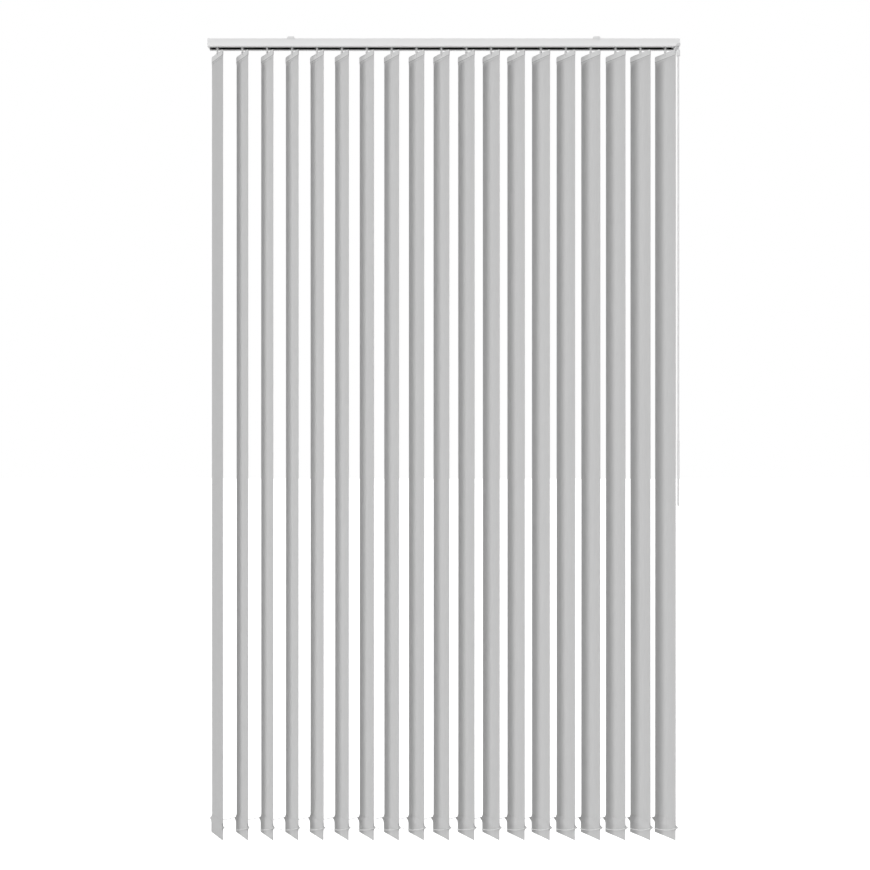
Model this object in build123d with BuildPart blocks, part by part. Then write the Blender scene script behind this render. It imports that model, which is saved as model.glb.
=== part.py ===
"""Vertical blind with 19 fabric louvres, drawn and tilted by one wand.

Frame: origin on the ceiling plane, midway between the two ceiling clips. +X runs along the rail to
the wand, -Y points into the room, +Z points up. All sizes are in millimetres.
"""
import os
from math import cos, pi, radians, sin

from build123d import *

os.makedirs("parts", exist_ok=True)

# Headrail: an extruded channel, open below
RAIL_LENGTH = 1500.0  # over the end caps
RAIL_DEPTH = 45.0
RAIL_HEIGHT = 25.0
RAIL_WALL = 1.2
RAIL_TOP = -5.0
RAIL_CORNER = 2.5
SLOT_WIDTH = 20.0
SLOT_RIB_HEIGHT = 1.8
RAIL_BOTTOM = RAIL_TOP - RAIL_HEIGHT
LIP_TOP = RAIL_BOTTOM + RAIL_WALL
RAIL_INSIDE_TOP = RAIL_TOP - RAIL_WALL
RAIL_INSIDE = RAIL_DEPTH / 2 - RAIL_WALL

# End caps
CAP_PLATE = 1.5
CAP_INSERT = 8.0
CAP_INSERT_WALL = 1.6
CAP_SHORT_CLOSURE = 2.0
CAP_PLAY = 0.1
CAP_BOSS_RADIUS = 5.0
CAP_BOSS_LENGTH = 3.0
RAIL_END = RAIL_LENGTH / 2 - CAP_PLATE

# Ceiling clips
CLIP_SPACING = 970.0
CLIP_WIDTH = 24.0
CLIP_TOP_WIDTH = 19.0
CLIP_SHEET = 1.2
CLIP_PLAY = 0.1
CLIP_LIP_DROP = 3.8
CLIP_FOOT_Y = 15.0
CLIP_FOOT_WIDTH = 6.0
CLIP_HOLE_RADIUS = 2.5

# Louvres and their carriers
LOUVRE_COUNT = 19
LOUVRE_PITCH = 79.45
FIRST_STEM_X = -722.5
LOUVRE_WIDTH = 89.0
LOUVRE_TOP = -45.2
LOUVRE_BOTTOM = -2544.8
LOUVRE_ANGLE = 55.84  # from the window's plane
FABRIC = 0.6
LAST_STEM_X = FIRST_STEM_X + (LOUVRE_COUNT - 1) * LOUVRE_PITCH

# Top pocket, hanger and stem
HANGER_POCKET_HEIGHT = 17.2
HANGER_SEAM_HEIGHT = 24.2
HANGER_POCKET_HALF = 1.3
HANGER_THICKNESS = 1.2
HANGER_LENGTH = 85.0
HANGER_HEIGHT = 13.4
HANGER_EYE_RADIUS = 2.6
EYE_Z = LOUVRE_TOP - 5.2
FABRIC_EYE_RADIUS = 4.2
STEM_RADIUS = 3.2
STEM_END = -40.8
FORK_WIDTH = 7.0
FORK_HALF = 2.5
FORK_GAP_HALF = 1.5
FORK_CROTCH = -43.8
FORK_END = EYE_Z - 3.4
FORK_PEG_RADIUS = 1.6
PEG_Z = EYE_Z + HANGER_EYE_RADIUS - FORK_PEG_RADIUS - 0.05

# Worm wheel on the stem
WORM_TEETH = 12
WORM_WHEEL_RADIUS = 4.6
WORM_WHEEL_ROOT = 3.8
WORM_WHEEL_TOP = -17.5
WORM_WHEEL_BOTTOM = -23.6
STEM_COLLAR_RADIUS = 4.8
STEM_COLLAR_BOTTOM = -24.4

# Bottom pocket, weight and chain hooks
WEIGHT_POCKET_HEIGHT = 55.0
WEIGHT_POCKET_FRONT = 3.0
WEIGHT_POCKET_BACK = -0.4
WEIGHT_THICKNESS = 2.0
WEIGHT_LENGTH = 84.0
WEIGHT_HEIGHT = 48.6
LUG_REACH = 56.5
LUG_Z = -2502.0
LUG_BASE_TOP = -2495.6
LUG_BASE_BOTTOM = -2510.2
LUG_TIP_HALF = 1.5
LUG_EYE_RADIUS = 1.2
LUG_EYE_REACH = 53.5

# Bottom chains
RING_REACH = 56.0
RING_RADIUS = 2.5
RING_WIRE_RADIUS = 0.6
CHAIN_RADIUS = 1.4
CHAIN_SAG = 6.5
CHAIN_END_GAP = 3.2
CHAIN_BEND = 40.0

# Tilt rod
ROD_Y = 7.5
ROD_Z = -20.0
ROD_CORE_RADIUS = 1.7
ROD_RIB_RADIUS = 2.2
ROD_RIB_WIDTH = 0.9
ROD_RIBS = 4
JOURNAL_RADIUS = 1.9
JOURNAL_LENGTH = 4.6
ROD_END = RAIL_END - 0.5
BUSH_RADIUS = 3.5
BUSH_BORE_RADIUS = JOURNAL_RADIUS + 0.05
BUSH_FLANGE_RADIUS = 4.6
BUSH_FLANGE = 0.8

# Carriers
CARRIER_LENGTH = 19.0
CARRIER_HALF_DEPTH = 12.0
CARRIER_TOP = -7.0
CARRIER_BOTTOM = -26.6
NECK_LENGTH = 12.0
NECK_HALF_DEPTH = 8.5
NECK_BOTTOM = -30.2
WORM_SEAT_RADIUS = 3.5
WHEEL_CHAMBER_RADIUS = 5.2
CHAMBER_TOP = -16.5
CHAMBER_FLOOR = -24.5
STEM_BORE_RADIUS = STEM_RADIUS + 0.15
WHEEL_RADIUS = 3.6
WHEEL_WIDTH = 4.5
WHEEL_GAP = 0.05
WHEEL_X = 5.6
AXLE_RADIUS = 1.2
AXLE_PLAY = 0.1
AXLE_HEAD_RADIUS = 2.0

# Spacer strips: each links a carrier to the next one, at one of five levels
STRIP_LEVELS = 5
STRIP_STEP = 1.2
STRIP_THICKNESS = 0.5
STRIP_WIDTH = 6.0
STRIP_TOP_LEVEL = -8.4
WINDOW_HALF_WIDTH = 4.0
WINDOW_TOP = -7.8
WINDOW_BOTTOM = -14.0
STRIP_HEAD_WIDTH = 7.4
STRIP_HEAD_LENGTH = 5.0
STRIP_STOP_GAP = 6.4
STRIP_STOP_LENGTH = 1.5

# Wand truck, which travels with the last carrier
WAND_X = 738.0
WAND_Y = -50.0
ARM_Z = -36.8
ARM_RADIUS = 5.8
ARM_BORE_RADIUS = 4.8
ARM_BACK = 13.4
ARM_FRONT = WAND_Y - 6.0
ARM_END_WALL = 1.3
TRUCK_LEFT = WAND_X - 7.8
TRUCK_RIGHT = WAND_X + 6.2
TRUCK_FRONT = -10.0
TRUCK_BACK = 14.0
TRUCK_TOP = -14.4
TRUCK_BOTTOM = -26.6
TRUCK_NECK_FRONT = -8.5
GEAR_CHAMBER_RADIUS = 4.95
DROP_RADIUS = 1.7
SHAFT_PLAY = 0.2
SPINDLE_RADIUS = 1.6
SPINDLE_END = -46.5

# Mitre gears
MITRE_TEETH = 10
TOOTH_TIP = 1.10  # tip, root and widths, as shares of the height above the cones' apex
TOOTH_ROOT = 0.86
TOOTH_BASE = 0.80
TIP_HALF_WIDTH = 0.060
ROOT_HALF_WIDTH = 0.125
UPPER_GEAR_BIG = 4.2
UPPER_GEAR_SMALL = 2.8
LOWER_GEAR_BIG = 3.0
LOWER_GEAR_SMALL = 1.8
GEAR_BACK = 0.6  # plain disc behind the teeth
ROD_KEY_PLAY = 0.08

# Wand
COUPLING_TOP = -43.0
COUPLING_BOTTOM = -53.0
COUPLING_RADIUS = 3.2
COUPLING_BORE = 1.7
STUD_RADIUS = 1.6
STUD_TOP = -49.5
CONNECTOR_TOP = -53.2
CONNECTOR_BOTTOM = -72.0
CONNECTOR_RADIUS = 5.6
WAND_RADIUS = 3.0
WAND_ROD_BOTTOM = -1282.0
GRIP_BOTTOM = -1482.0
GRIP_RADIUS = 3.9
TIP_BOTTOM = -1488.0
TIP_RADIUS = 3.5

angle = radians(LOUVRE_ANGLE)
across = Vector(cos(angle), -sin(angle), 0)  # along a louvre's width, towards its front edge
face = Vector(-sin(angle), -cos(angle), 0)  # out of the louvre's face that looks left and forward


def write(builder, name):
    """Label a finished piece and write it to its own file."""
    builder.part.label = name
    export_step(builder.part, f"parts/{name}.step")


def stem_x(number):
    """The place along the rail of one louvre's stem."""
    return FIRST_STEM_X + (number - 1) * LOUVRE_PITCH


# ---------------------------------------------------------------- headrail and end caps

with BuildPart() as headrail:
    with BuildSketch(Plane.YZ.offset(-RAIL_END)) as section:
        with Locations((0, (RAIL_TOP + RAIL_BOTTOM) / 2)):
            Rectangle(RAIL_DEPTH, RAIL_HEIGHT)
        fillet(section.vertices().group_by(Axis.Y)[-1], RAIL_CORNER)
        with Locations((0, (RAIL_INSIDE_TOP + LIP_TOP) / 2)):
            Rectangle(2 * RAIL_INSIDE, RAIL_INSIDE_TOP - LIP_TOP, mode=Mode.SUBTRACT)
        with Locations((0, RAIL_BOTTOM)):
            Rectangle(SLOT_WIDTH, 4 * RAIL_WALL, mode=Mode.SUBTRACT)
        rib_y = (SLOT_WIDTH + RAIL_WALL) / 2
        with Locations((-rib_y, LIP_TOP), (rib_y, LIP_TOP)):
            Rectangle(RAIL_WALL, SLOT_RIB_HEIGHT, align=(Align.CENTER, Align.MIN))
    extrude(amount=2 * RAIL_END)
write(headrail, "headrail")


def end_cap(side, slot_closure):
    """A cap with a plate, an insert that hugs the rail's walls, a bush boss and a slot closure."""
    inward = Plane.YZ.offset(side * RAIL_END)
    with BuildPart() as cap:
        with BuildSketch(inward) as plate:
            with Locations((0, (RAIL_TOP + RAIL_BOTTOM) / 2)):
                Rectangle(RAIL_DEPTH, RAIL_HEIGHT)
            fillet(plate.vertices().group_by(Axis.Y)[-1], RAIL_CORNER)
        extrude(amount=side * CAP_PLATE)
        with BuildSketch(inward):
            insert_top = RAIL_INSIDE_TOP - CAP_PLAY
            insert_half = RAIL_INSIDE - CAP_PLAY
            insert_height = insert_top - TRUCK_BOTTOM
            with Locations((0, insert_top)):
                Rectangle(2 * insert_half, insert_height, align=(Align.CENTER, Align.MAX))
            with Locations((0, insert_top - CAP_INSERT_WALL)):
                inside = 2 * (insert_half - CAP_INSERT_WALL)
                Rectangle(inside, insert_height, align=(Align.CENTER, Align.MAX), mode=Mode.SUBTRACT)
        extrude(amount=-side * CAP_INSERT)
        with BuildSketch(inward):
            with Locations((ROD_Y, ROD_Z)):
                Circle(CAP_BOSS_RADIUS)
        extrude(amount=-side * CAP_BOSS_LENGTH)
        with BuildSketch(inward):
            with Locations((0, RAIL_BOTTOM)):
                closure_width = SLOT_WIDTH - 2 * CAP_PLAY
                Rectangle(closure_width, RAIL_WALL, align=(Align.CENTER, Align.MIN))
        extrude(amount=-side * slot_closure)
        with BuildSketch(inward):
            with Locations((ROD_Y, ROD_Z)):
                Circle(BUSH_RADIUS)
        extrude(amount=-side * CAP_BOSS_LENGTH, mode=Mode.SUBTRACT)
    return cap


write(end_cap(-1, CAP_SHORT_CLOSURE), "end_cap_left")
write(end_cap(1, RAIL_END - TRUCK_RIGHT - 1.0), "end_cap_right")


def rod_bush(side):
    """A flanged bush that carries one end of the tilt rod."""
    start = Plane.YZ.offset(side * RAIL_END)
    with BuildPart() as bush:
        with BuildSketch(start):
            with Locations((ROD_Y, ROD_Z)):
                Circle(BUSH_RADIUS)
        extrude(amount=-side * CAP_BOSS_LENGTH)
        with BuildSketch(start.offset(-side * CAP_BOSS_LENGTH)):
            with Locations((ROD_Y, ROD_Z)):
                Circle(BUSH_FLANGE_RADIUS)
        extrude(amount=-side * BUSH_FLANGE)
        with BuildSketch(start):
            with Locations((ROD_Y, ROD_Z)):
                Circle(BUSH_BORE_RADIUS)
        extrude(amount=-side * (CAP_BOSS_LENGTH + BUSH_FLANGE), mode=Mode.SUBTRACT)
    return bush


write(rod_bush(-1), "rod_bush_left")
write(rod_bush(1), "rod_bush_right")


# ---------------------------------------------------------------- ceiling clips


def ceiling_clip(x):
    """A sprung steel clip: a plate on the ceiling, two feet on the rail and a lip over each edge."""
    outer = RAIL_DEPTH / 2 + CLIP_SHEET
    with BuildPart() as clip:
        with BuildSketch(Plane.YZ.offset(x - CLIP_WIDTH / 2)):
            with Locations((0, 0)):
                Rectangle(2 * outer, CLIP_LIP_DROP - RAIL_TOP, align=(Align.CENTER, Align.MAX))
            with Locations((0, -CLIP_SHEET)):
                inner = RAIL_DEPTH + 2 * CLIP_PLAY
                Rectangle(inner, 2 * RAIL_DEPTH, align=(Align.CENTER, Align.MAX), mode=Mode.SUBTRACT)
            for side in (-1, 1):
                with Locations((side * CLIP_FOOT_Y, RAIL_TOP)):
                    Rectangle(CLIP_FOOT_WIDTH, -RAIL_TOP - CLIP_SHEET, align=(Align.CENTER, Align.MIN))
        extrude(amount=CLIP_WIDTH)
        for side in (-1, 1):
            with BuildSketch(Plane.XZ.offset(-outer)):
                with BuildLine():
                    Polyline(
                        (x + side * CLIP_WIDTH / 2, RAIL_TOP),
                        (x + side * CLIP_WIDTH / 2, 0),
                        (x + side * CLIP_TOP_WIDTH / 2, 0),
                        close=True,
                    )
                make_face()
            extrude(amount=2 * outer, mode=Mode.SUBTRACT)
        with BuildSketch(Plane.XY):
            with Locations((x, 0)):
                Circle(CLIP_HOLE_RADIUS)
        extrude(amount=-CLIP_SHEET, mode=Mode.SUBTRACT)
    return clip


write(ceiling_clip(-CLIP_SPACING / 2), "ceiling_clip_left")
write(ceiling_clip(CLIP_SPACING / 2), "ceiling_clip_right")


# ---------------------------------------------------------------- tilt rod


def rod_profile(play):
    """The rod's ribbed section, grown by the play on every side, as a sketch on the local plane."""
    Circle(ROD_CORE_RADIUS + play)
    with PolarLocations(0, ROD_RIBS):
        Rectangle(ROD_RIB_RADIUS + play, ROD_RIB_WIDTH + 2 * play, align=(Align.MIN, Align.CENTER))


rod_axis_plane = Plane(origin=(0, ROD_Y, ROD_Z), x_dir=(0, 1, 0), z_dir=(1, 0, 0))

with BuildPart() as tilt_rod:
    with BuildSketch(rod_axis_plane.offset(-ROD_END + JOURNAL_LENGTH)):
        rod_profile(0)
    extrude(amount=2 * (ROD_END - JOURNAL_LENGTH))
    with BuildSketch(rod_axis_plane.offset(-ROD_END)):
        Circle(JOURNAL_RADIUS)
    extrude(amount=JOURNAL_LENGTH)
    with BuildSketch(rod_axis_plane.offset(ROD_END - JOURNAL_LENGTH)):
        Circle(JOURNAL_RADIUS)
    extrude(amount=JOURNAL_LENGTH)
write(tilt_rod, "tilt_rod")


# ---------------------------------------------------------------- carriers


def strip_z(number):
    """The height of a carrier's spacer strip. The five levels repeat along the rail."""
    return STRIP_TOP_LEVEL - (number % STRIP_LEVELS) * STRIP_STEP


def carrier(number):
    """A housing on four wheels, with the spacer strip that leads to the next carrier."""
    x = stem_x(number)
    left = Plane.YZ.offset(x - CARRIER_LENGTH / 2)
    with BuildPart() as unit:
        with BuildSketch(left):
            with Locations((0, CARRIER_TOP)):
                height = CARRIER_TOP - CARRIER_BOTTOM
                Rectangle(2 * CARRIER_HALF_DEPTH, height, align=(Align.CENTER, Align.MAX))
            with Locations((0, WINDOW_TOP)):
                window = WINDOW_TOP - WINDOW_BOTTOM
                Rectangle(2 * WINDOW_HALF_WIDTH, window, align=(Align.CENTER, Align.MAX), mode=Mode.SUBTRACT)
            with Locations((ROD_Y, ROD_Z)):
                Circle(WORM_SEAT_RADIUS, mode=Mode.SUBTRACT)
        extrude(amount=CARRIER_LENGTH)
        with BuildSketch(Plane.XY.offset(CARRIER_BOTTOM)):
            with Locations((x, 0)):
                Rectangle(NECK_LENGTH, 2 * NECK_HALF_DEPTH)
        extrude(amount=NECK_BOTTOM - CARRIER_BOTTOM)
        with BuildSketch(Plane.XY.offset(CHAMBER_FLOOR)):
            with Locations((x, 0)):
                Circle(WHEEL_CHAMBER_RADIUS)
                Rectangle(2 * WHEEL_CHAMBER_RADIUS, 2 * CARRIER_HALF_DEPTH, align=(Align.CENTER, Align.MAX))
        extrude(amount=CHAMBER_TOP - CHAMBER_FLOOR, mode=Mode.SUBTRACT)
        with BuildSketch(Plane.XY.offset(NECK_BOTTOM)):
            with Locations((x, 0)):
                Circle(STEM_BORE_RADIUS)
                Rectangle(2 * STEM_BORE_RADIUS, 2 * CARRIER_HALF_DEPTH, align=(Align.CENTER, Align.MAX))
        extrude(amount=CHAMBER_FLOOR - NECK_BOTTOM, mode=Mode.SUBTRACT)
        wheel_z = LIP_TOP + WHEEL_GAP + WHEEL_RADIUS
        for side in (-1, 1):
            wall = Plane.XZ.offset(-side * CARRIER_HALF_DEPTH)
            wheel_start = CARRIER_HALF_DEPTH + 0.5
            with BuildSketch(wall):
                with Locations((x - WHEEL_X, wheel_z), (x + WHEEL_X, wheel_z)):
                    Circle(AXLE_RADIUS)
            extrude(amount=-side * (WHEEL_WIDTH + 1.0))
            with BuildSketch(Plane.XZ.offset(-side * (wheel_start + WHEEL_WIDTH + 0.5))):
                with Locations((x - WHEEL_X, wheel_z), (x + WHEEL_X, wheel_z)):
                    Circle(AXLE_HEAD_RADIUS)
            extrude(amount=-side * 0.8)
            with BuildSketch(Plane.XZ.offset(-side * wheel_start)):
                with Locations((x - WHEEL_X, wheel_z), (x + WHEEL_X, wheel_z)):
                    Circle(WHEEL_RADIUS)
                    Circle(AXLE_RADIUS + AXLE_PLAY, mode=Mode.SUBTRACT)
            extrude(amount=-side * WHEEL_WIDTH)
        if number > 1:
            stop_z = strip_z(number - 1)
            for side in (-1, 1):
                with BuildSketch(left):
                    with Locations((side * WINDOW_HALF_WIDTH, stop_z)):
                        stop_width = WINDOW_HALF_WIDTH - STRIP_STOP_GAP / 2
                        edge = Align.MAX if side > 0 else Align.MIN
                        Rectangle(stop_width, STRIP_THICKNESS, align=(edge, Align.CENTER))
                extrude(amount=STRIP_STOP_LENGTH)
        if number < LOUVRE_COUNT:
            head_start = stem_x(number + 1) - CARRIER_LENGTH / 2 + STRIP_STOP_LENGTH + 0.3
            bottom = Plane.XY.offset(strip_z(number) - STRIP_THICKNESS / 2)
            with BuildSketch(bottom):
                with Locations((x - CARRIER_LENGTH / 2 + 1, 0)):
                    root_length = CARRIER_LENGTH - 2
                    Rectangle(root_length, 2 * WINDOW_HALF_WIDTH, align=(Align.MIN, Align.CENTER))
                with Locations((x, 0)):
                    run = head_start - x
                    Rectangle(run, STRIP_WIDTH, align=(Align.MIN, Align.CENTER))
                with Locations((head_start, 0)):
                    Rectangle(STRIP_HEAD_LENGTH, STRIP_HEAD_WIDTH, align=(Align.MIN, Align.CENTER))
            extrude(amount=STRIP_THICKNESS)
    return unit


for number in range(1, LOUVRE_COUNT + 1):
    write(carrier(number), f"carrier_{number:02d}")


# ---------------------------------------------------------------- louvres

with BuildPart() as stem:
    with BuildSketch(Plane.XY.offset(WORM_WHEEL_BOTTOM)):
        Circle(WORM_WHEEL_ROOT)
        with PolarLocations(WORM_WHEEL_ROOT - 0.3, WORM_TEETH):
            tooth_length = WORM_WHEEL_RADIUS - WORM_WHEEL_ROOT + 0.3
            tooth_width = 0.5 * pi * WORM_WHEEL_RADIUS / WORM_TEETH
            Rectangle(tooth_length, tooth_width, align=(Align.MIN, Align.CENTER))
    extrude(amount=WORM_WHEEL_TOP - WORM_WHEEL_BOTTOM)
    with BuildSketch(Plane.XY.offset(STEM_COLLAR_BOTTOM)):
        Circle(STEM_COLLAR_RADIUS)
    extrude(amount=WORM_WHEEL_BOTTOM - STEM_COLLAR_BOTTOM)
    with BuildSketch(Plane.XY.offset(STEM_END)):
        Circle(STEM_RADIUS)
    extrude(amount=STEM_COLLAR_BOTTOM - STEM_END)
    with BuildSketch(Plane.XY.offset(FORK_END)):
        Rectangle(FORK_WIDTH, 2 * FORK_HALF)
    extrude(amount=STEM_END - FORK_END)
    with BuildSketch(Plane.XY.offset(FORK_END)):
        Rectangle(FORK_WIDTH, 2 * FORK_GAP_HALF)
    extrude(amount=FORK_CROTCH - FORK_END, mode=Mode.SUBTRACT)
    with BuildSketch(Plane.XZ.offset(-FORK_GAP_HALF)):
        with Locations((0, PEG_Z)):
            Circle(FORK_PEG_RADIUS)
    extrude(amount=2 * FORK_GAP_HALF)
    outer_edges = stem.edges().filter_by(Axis.Y).group_by(Axis.Z)[0]
    chamfer(outer_edges, 1.5)

with BuildPart() as hanger:
    with BuildSketch(Plane.XZ.offset(-HANGER_THICKNESS / 2)) as hanger_face:
        with Locations((0, LOUVRE_TOP - FABRIC - 0.2)):
            Rectangle(HANGER_LENGTH, HANGER_HEIGHT, align=(Align.CENTER, Align.MAX))
        fillet(hanger_face.vertices().group_by(Axis.Y)[-1], 4)
        with Locations((0, EYE_Z)):
            Circle(HANGER_EYE_RADIUS, mode=Mode.SUBTRACT)
    extrude(amount=HANGER_THICKNESS)

pocket_end = LOUVRE_TOP - HANGER_POCKET_HEIGHT
seam_end = LOUVRE_TOP - HANGER_SEAM_HEIGHT
weight_pocket_top = LOUVRE_BOTTOM + WEIGHT_POCKET_HEIGHT
# a section across the louvre's thickness: local x is out of its front face, local y is up
thickness_plane = Plane(origin=(0, 0, 0), x_dir=(0, -1, 0), z_dir=(-1, 0, 0))
with BuildPart() as fabric:
    with BuildSketch(thickness_plane.offset(-LOUVRE_WIDTH / 2)):
        with BuildLine():
            Polyline(
                (-HANGER_POCKET_HALF, LOUVRE_TOP),
                (HANGER_POCKET_HALF, LOUVRE_TOP),
                (HANGER_POCKET_HALF, pocket_end + 1),
                (FABRIC, pocket_end),
                (FABRIC, seam_end),
                (FABRIC / 2, seam_end),
                (FABRIC / 2, weight_pocket_top),
                (WEIGHT_POCKET_FRONT, weight_pocket_top - 3),
                (WEIGHT_POCKET_FRONT, LOUVRE_BOTTOM),
                (WEIGHT_POCKET_BACK, LOUVRE_BOTTOM),
                (WEIGHT_POCKET_BACK, weight_pocket_top - 1),
                (-FABRIC / 2, weight_pocket_top),
                (-FABRIC / 2, seam_end),
                (-FABRIC, seam_end),
                (-FABRIC, pocket_end),
                (-HANGER_POCKET_HALF, pocket_end + 1),
                close=True,
            )
        make_face()
    extrude(amount=LOUVRE_WIDTH)
    chamfer(fabric.edges().filter_by(Axis.Y).group_by(Axis.Z)[-1], 3)
    with BuildSketch(thickness_plane.offset(-LOUVRE_WIDTH / 2)):
        with Locations((0, LOUVRE_TOP - FABRIC)):
            hollow = HANGER_HEIGHT + 0.4
            pocket_width = 2 * (HANGER_POCKET_HALF - FABRIC)
            Rectangle(pocket_width, hollow, align=(Align.CENTER, Align.MAX))
        with Locations(((WEIGHT_POCKET_FRONT + WEIGHT_POCKET_BACK) / 2, LOUVRE_BOTTOM + FABRIC)):
            pocket_width = WEIGHT_POCKET_FRONT - WEIGHT_POCKET_BACK - 2 * FABRIC
            Rectangle(pocket_width, WEIGHT_HEIGHT + 2, align=(Align.CENTER, Align.MIN))
    extrude(amount=LOUVRE_WIDTH, mode=Mode.SUBTRACT)
    with BuildSketch(Plane.XZ.offset(-HANGER_POCKET_HALF)):
        with Locations((0, EYE_Z)):
            Circle(FABRIC_EYE_RADIUS)
    extrude(amount=2 * HANGER_POCKET_HALF, mode=Mode.SUBTRACT)

weight_centre = (WEIGHT_POCKET_FRONT + WEIGHT_POCKET_BACK) / 2
with BuildPart() as weight:
    with BuildSketch(Plane.XZ.offset(weight_centre - WEIGHT_THICKNESS / 2)):
        with Locations((0, LOUVRE_BOTTOM + FABRIC + 0.2)):
            Rectangle(WEIGHT_LENGTH, WEIGHT_HEIGHT, align=(Align.CENTER, Align.MIN))
        for side in (-1, 1):
            base = side * WEIGHT_LENGTH / 2
            edge = side * (LOUVRE_WIDTH / 2 + 0.5)
            tip = side * LUG_REACH
            with BuildLine():
                Polyline(
                    (base, LUG_BASE_TOP),
                    (edge, LUG_BASE_TOP),
                    (tip, LUG_Z + LUG_TIP_HALF),
                    (tip, LUG_Z - LUG_TIP_HALF),
                    (edge, LUG_BASE_BOTTOM),
                    (base, LUG_BASE_BOTTOM),
                    close=True,
                )
            make_face()
        with Locations((-LUG_EYE_REACH, LUG_Z), (LUG_EYE_REACH, LUG_Z)):
            Circle(LUG_EYE_RADIUS, mode=Mode.SUBTRACT)
    extrude(amount=WEIGHT_THICKNESS)


with BuildPart() as louvre:
    for piece in (stem, hanger, fabric, weight):
        add(piece.part)

for number in range(1, LOUVRE_COUNT + 1):
    with BuildPart() as hung_louvre:
        add(louvre.part.moved(Location((stem_x(number), 0, 0), (0, 0, -LOUVRE_ANGLE))))
    write(hung_louvre, f"louvre_{number:02d}")


# ---------------------------------------------------------------- bottom chains


def chain(end):
    """Rings through the hooks on one side of the louvres, with a sagging chain between each pair."""
    reach = across * (end * RING_REACH) + face * weight_centre
    with BuildPart() as run:
        for number in range(1, LOUVRE_COUNT + 1):
            ring_centre = Vector(stem_x(number), 0, LUG_Z) + reach
            with Locations(Location(ring_centre)):
                Torus(RING_RADIUS, RING_WIRE_RADIUS)
        for number in range(1, LOUVRE_COUNT):
            start = Vector(stem_x(number) + CHAIN_END_GAP, 0, LUG_Z) + reach
            span = LOUVRE_PITCH - 2 * CHAIN_END_GAP
            low = 0.3 * span
            with BuildLine() as path:
                FilletPolyline(
                    start,
                    start + Vector(low, 0, -CHAIN_SAG),
                    start + Vector(span - low, 0, -CHAIN_SAG),
                    start + Vector(span, 0, 0),
                    radius=CHAIN_BEND,
                )
            with BuildSketch(Plane(origin=path.line @ 0, z_dir=path.line % 0)):
                Circle(CHAIN_RADIUS)
            sweep(path=path.line)
    return run


write(chain(1), "front_chain")
write(chain(-1), "rear_chain")


# ---------------------------------------------------------------- wand drive


def mitre_gear(big, small):
    """A mitre gear about local Z, with its cones' apex at the origin and a tooth towards local X."""
    with BuildPart() as tooth:
        for height in (small, big):
            with BuildSketch(Plane.XY.offset(height)):
                with BuildLine():
                    Polyline(
                        (TOOTH_BASE * height, -ROOT_HALF_WIDTH * height),
                        (TOOTH_TIP * height, -TIP_HALF_WIDTH * height),
                        (TOOTH_TIP * height, TIP_HALF_WIDTH * height),
                        (TOOTH_BASE * height, ROOT_HALF_WIDTH * height),
                        close=True,
                    )
                make_face()
        loft()
    with BuildPart() as gear:
        with Locations((0, 0, (big + small) / 2)):
            Cone(TOOTH_ROOT * small, TOOTH_ROOT * big, big - small)
        with PolarLocations(0, MITRE_TEETH):
            add(tooth.part)
        with Locations((0, 0, big)):
            Cylinder(TOOTH_ROOT * big, GEAR_BACK, align=(Align.CENTER, Align.CENTER, Align.MIN))
    return gear.part


upper_gear = mitre_gear(UPPER_GEAR_BIG, UPPER_GEAR_SMALL)
lower_gear = mitre_gear(LOWER_GEAR_BIG, LOWER_GEAR_SMALL)
HALF_TOOTH = 180.0 / MITRE_TEETH
rod_apex = (WAND_X, ROD_Y, ROD_Z)
back_apex = (WAND_X, ROD_Y, ARM_Z)
front_apex = (WAND_X, WAND_Y, ARM_Z)


def gear_place(apex, outward, mate, gap_first):
    """A gear's place: its axis runs outward from the apex, and a tooth or a gap faces its mate."""
    plane = Plane(origin=apex, x_dir=mate, z_dir=outward)
    return plane.location * Location((0, 0, 0), (0, 0, HALF_TOOTH if gap_first else 0))


with BuildPart() as rod_gear:
    add(upper_gear.moved(gear_place(rod_apex, (-1, 0, 0), (0, 0, -1), False)))
    with BuildSketch(rod_axis_plane.offset(WAND_X - 2 * UPPER_GEAR_BIG)):
        rod_profile(ROD_KEY_PLAY)
    extrude(amount=2 * UPPER_GEAR_BIG, mode=Mode.SUBTRACT)
write(rod_gear, "rod_gear")

with BuildPart() as drop_shaft:
    add(upper_gear.moved(gear_place(rod_apex, (0, 0, -1), (-1, 0, 0), True)))
    add(lower_gear.moved(gear_place(back_apex, (0, 0, 1), (0, -1, 0), False)))
    with BuildSketch(Plane.XY.offset(ARM_Z + LOWER_GEAR_BIG)):
        with Locations((WAND_X, ROD_Y)):
            Circle(DROP_RADIUS)
    extrude(amount=ROD_Z - UPPER_GEAR_BIG - ARM_Z - LOWER_GEAR_BIG)
write(drop_shaft, "drop_shaft")

with BuildPart() as cross_shaft:
    add(lower_gear.moved(gear_place(back_apex, (0, -1, 0), (0, 0, 1), True)))
    add(lower_gear.moved(gear_place(front_apex, (0, 1, 0), (0, 0, -1), False)))
    with BuildSketch(Plane.XZ.offset(LOWER_GEAR_BIG - ROD_Y)):
        with Locations((WAND_X, ARM_Z)):
            Circle(DROP_RADIUS)
    extrude(amount=ROD_Y - WAND_Y - 2 * LOWER_GEAR_BIG)
write(cross_shaft, "cross_shaft")

with BuildPart() as wand_spindle:
    add(lower_gear.moved(gear_place(front_apex, (0, 0, -1), (0, 1, 0), True)))
    with BuildSketch(Plane.XY.offset(ARM_Z - LOWER_GEAR_BIG)):
        with Locations((WAND_X, WAND_Y)):
            Circle(SPINDLE_RADIUS)
    extrude(amount=SPINDLE_END - ARM_Z + LOWER_GEAR_BIG)
write(wand_spindle, "wand_spindle")

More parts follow.
